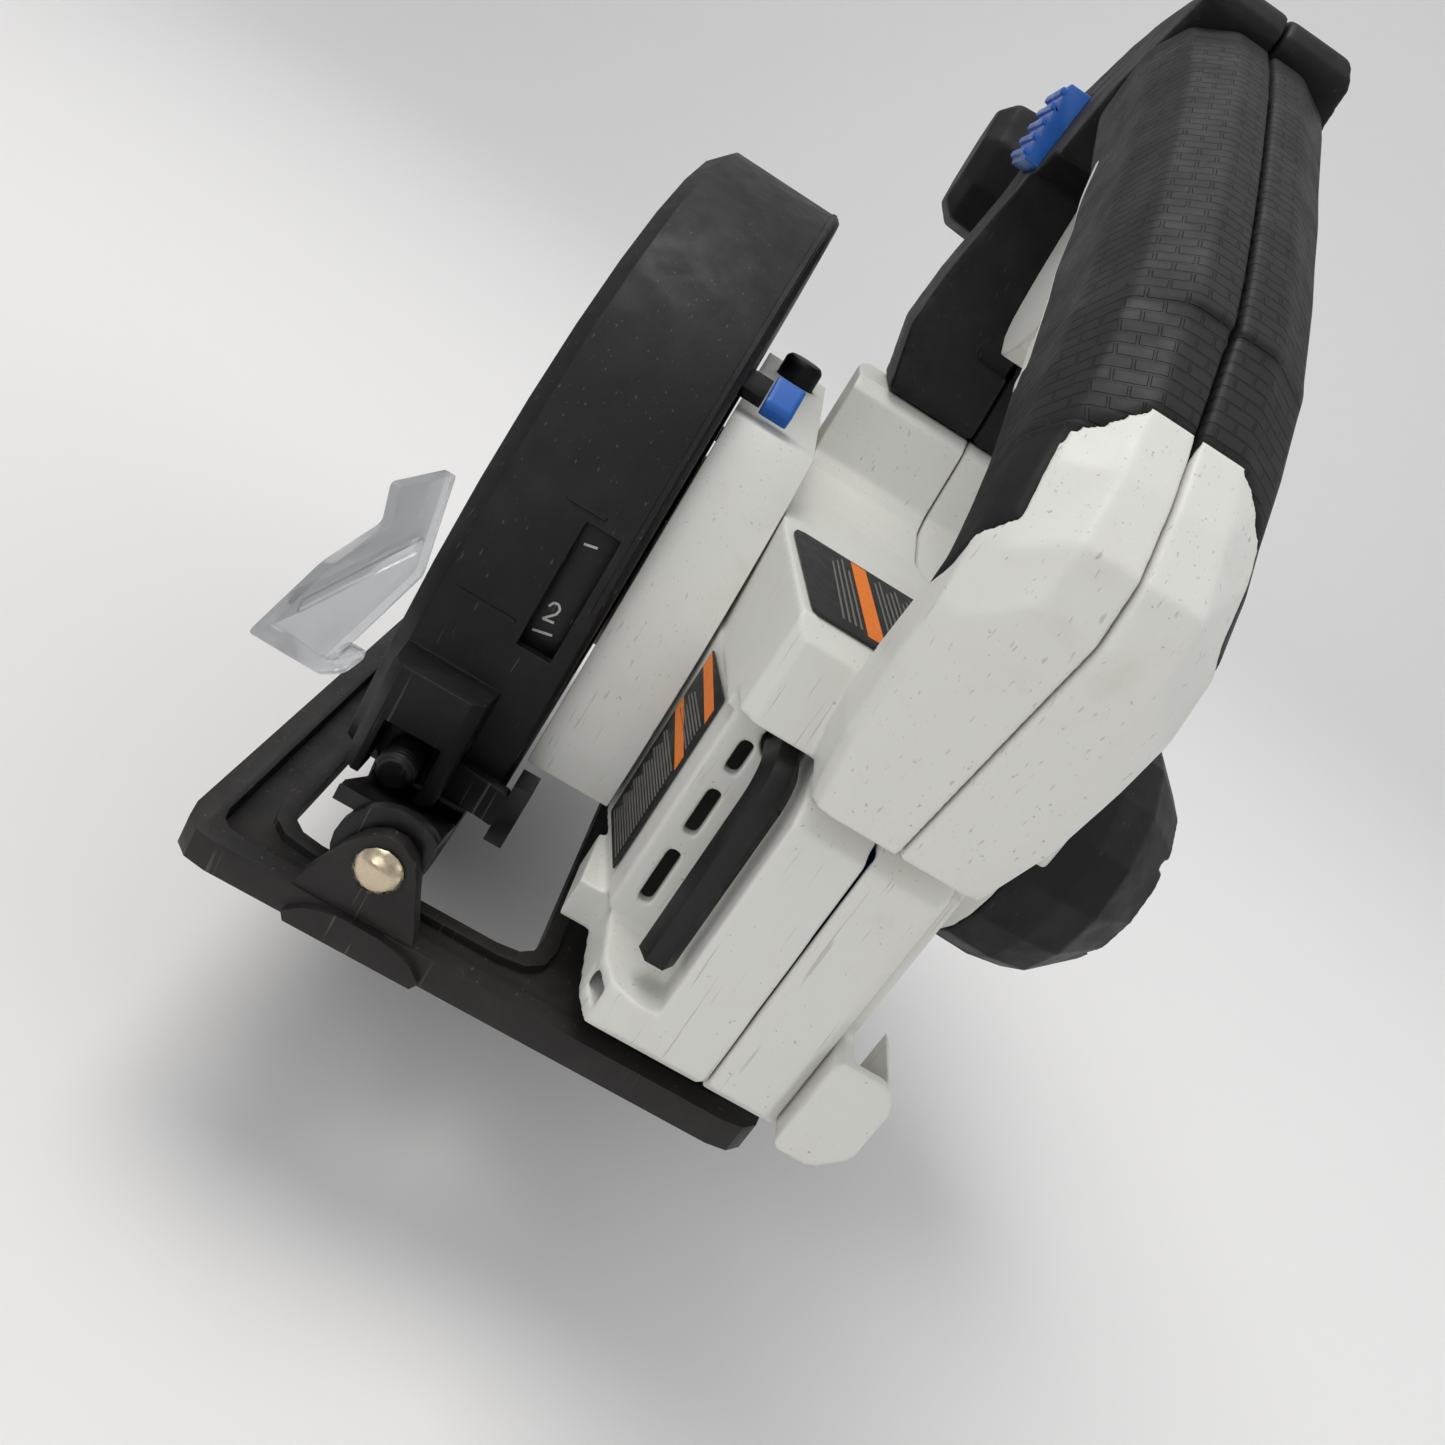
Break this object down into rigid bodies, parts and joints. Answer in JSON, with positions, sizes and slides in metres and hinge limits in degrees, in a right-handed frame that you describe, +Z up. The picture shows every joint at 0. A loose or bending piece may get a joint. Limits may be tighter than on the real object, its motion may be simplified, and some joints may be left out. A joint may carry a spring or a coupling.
{
  "type": "circular saw",
  "caption": "Cordless circular saw with a left-hand blade, tilting base, depth bracket, sprung lower guard, rear D-handle and front auxiliary handle.",
  "frame": {"origin": "on the sole of the base, half way along it, under the split plane of the handle", "axes": "+X forward along the cut, +Y towards the blade side, +Z up from the sole"},
  "size_m": [0.2817, 0.1717, 0.251],
  "materials": {
    "white_plastic": "moulded white plastic, satin, lightly scuffed and dusty",
    "black_plastic": "black moulded plastic",
    "grip_rubber": "black soft-touch rubber",
    "black_paint": "matte black powder coat with faint scratches",
    "base_paint": "dark grey-black coating worn brown at the edges",
    "bare_steel": "machined steel",
    "blade_steel": "ground steel blade",
    "nickel": "dull nickel plate",
    "black_oxide": "black oxide steel",
    "blue_plastic": "blue moulded plastic",
    "clear_plastic": "clear moulded plastic",
    "copper": "wound copper and steel laminations",
    "brass": "brass contact",
    "carbon": "pressed carbon",
    "label": "black printed film with orange bands"
  },
  "bodies": {
    "base": {"base_plate": "base_paint", "rear_bevel_rivet": "nickel", "front_bevel_rivet": "nickel", "bevel_quadrant": "black_oxide"},
    "bevel_frame": {"rear_depth_bracket": "black_oxide", "front_pivot_bracket": "black_oxide", "depth_pivot_pin": "bare_steel", "bevel_lock_bolt": "bare_steel"},
    "bevel_knob": {"bevel_lock_knob": "black_plastic"},
    "saw_body": {"upper_guard": "black_paint", "depth_lock_bolt": "black_oxide", "gear_housing": "white_plastic", "lower_guard_spring": "bare_steel", "housing_left": "white_plastic", "housing_right": "white_plastic", "housing_screw_1": "bare_steel", "housing_screw_2": "bare_steel", "housing_screw_3": "bare_steel", "housing_screw_4": "bare_steel", "grip_left": "grip_rubber", "grip_right": "grip_rubber", "front_arm_left": "grip_rubber", "front_arm_right": "grip_rubber", "front_handle": "grip_rubber", "front_handle_screw": "bare_steel", "motor_cap": "black_plastic", "motor_can": "bare_steel", "rear_rotor_bearing": "bare_steel", "front_rotor_bearing": "bare_steel", "brush_holder_plate": "black_plastic", "carbon_brush_upper": "carbon", "carbon_brush_lower": "carbon", "tail_bearing": "bare_steel", "spindle_bearing": "bare_steel", "deflector": "clear_plastic", "side_label": "label", "top_label": "label", "controller_board": "blue_plastic", "trigger_switch": "black_plastic", "battery_rails": "white_plastic", "terminal_positive": "brass", "terminal_negative": "brass"},
    "rotor": {"armature": "copper", "commutator": "copper", "rotor_shaft_pinion": "bare_steel", "cooling_fan": "black_plastic"},
    "spindle": {"spindle_shaft": "bare_steel", "drive_gear": "bare_steel", "inner_flange": "bare_steel", "blade": "blade_steel", "outer_flange": "bare_steel", "blade_bolt": "black_oxide"},
    "blade_guard": {"lower_guard": "black_paint", "guard_lever": "black_oxide", "guard_lever_tip": "blue_plastic"},
    "trigger": {"trigger_button": "white_plastic"},
    "lock_off": {"lock_off_button": "blue_plastic"},
    "spindle_lock": {"spindle_lock_button": "black_plastic"},
    "depth_lever": {"depth_lock_lever": "black_oxide"},
    "key": {"hex_key": "black_oxide"}
  },
  "joints": [
    {"name": "bevel_tilt", "type": "hinge", "parent": "base", "child": "bevel_frame", "pos_m": [0, 0.0609, 0.0155], "axis": [-1, 0, 0], "range_deg": [0, 45]},
    {"name": "bevel_lock", "type": "hinge", "parent": "bevel_frame", "child": "bevel_knob", "pos_m": [0.123, 0.03339, 0.03549], "axis": [1, 0, 0], "range_deg": [-30, 30]},
    {"name": "depth_swing", "type": "hinge", "parent": "bevel_frame", "child": "saw_body", "pos_m": [0.104, 0.063, 0.026], "axis": [0, 1, 0], "range_deg": [0, 12.5]},
    {"name": "depth_lock", "type": "hinge", "parent": "saw_body", "child": "depth_lever", "pos_m": [-0.0983, 0.068, 0.02], "axis": [1, 0, 0], "range_deg": [0, 12]},
    {"name": "blade_spin", "type": "hinge", "parent": "saw_body", "child": "spindle", "pos_m": [-0.0015, 0.066, 0.034], "axis": [0, 1, 0], "continuous": true},
    {"name": "motor_spin", "type": "hinge", "parent": "saw_body", "child": "rotor", "pos_m": [-0.03105, 0, 0.044], "axis": [0, 1, 0], "continuous": true},
    {"name": "lower_guard_swing", "type": "hinge", "parent": "saw_body", "child": "blade_guard", "pos_m": [-0.0015, 0.066, 0.034], "axis": [0, 1, 0], "range_deg": [0, 140], "stiffness_Nm_per_rad": 0.15, "springref_deg": -68.75},
    {"name": "trigger_pull", "type": "hinge", "parent": "saw_body", "child": "trigger", "pos_m": [0.002, 0, 0.166], "axis": [0, 1, 0], "range_deg": [0, 11], "stiffness_Nm_per_rad": 0.3, "springref_deg": -17.19},
    {"name": "lock_off_push", "type": "slide", "parent": "saw_body", "child": "lock_off", "axis": [0, -1, 0], "range_m": [0, 0.0035], "stiffness_N_per_m": 600, "springref_m": -0.003},
    {"name": "spindle_lock_press", "type": "slide", "parent": "saw_body", "child": "spindle_lock", "axis": [0, 0, -1], "range_m": [0, 0.003], "stiffness_N_per_m": 600, "springref_m": -0.002},
    {"name": "hex_key_slide", "type": "slide", "parent": "saw_body", "child": "key", "axis": [-1, 0, 0], "range_m": [0, 0.025]}
  ],
  "couplings": [
    {"joint": "motor_spin", "follows": "blade_spin", "ratio": -4.7778}
  ]
}
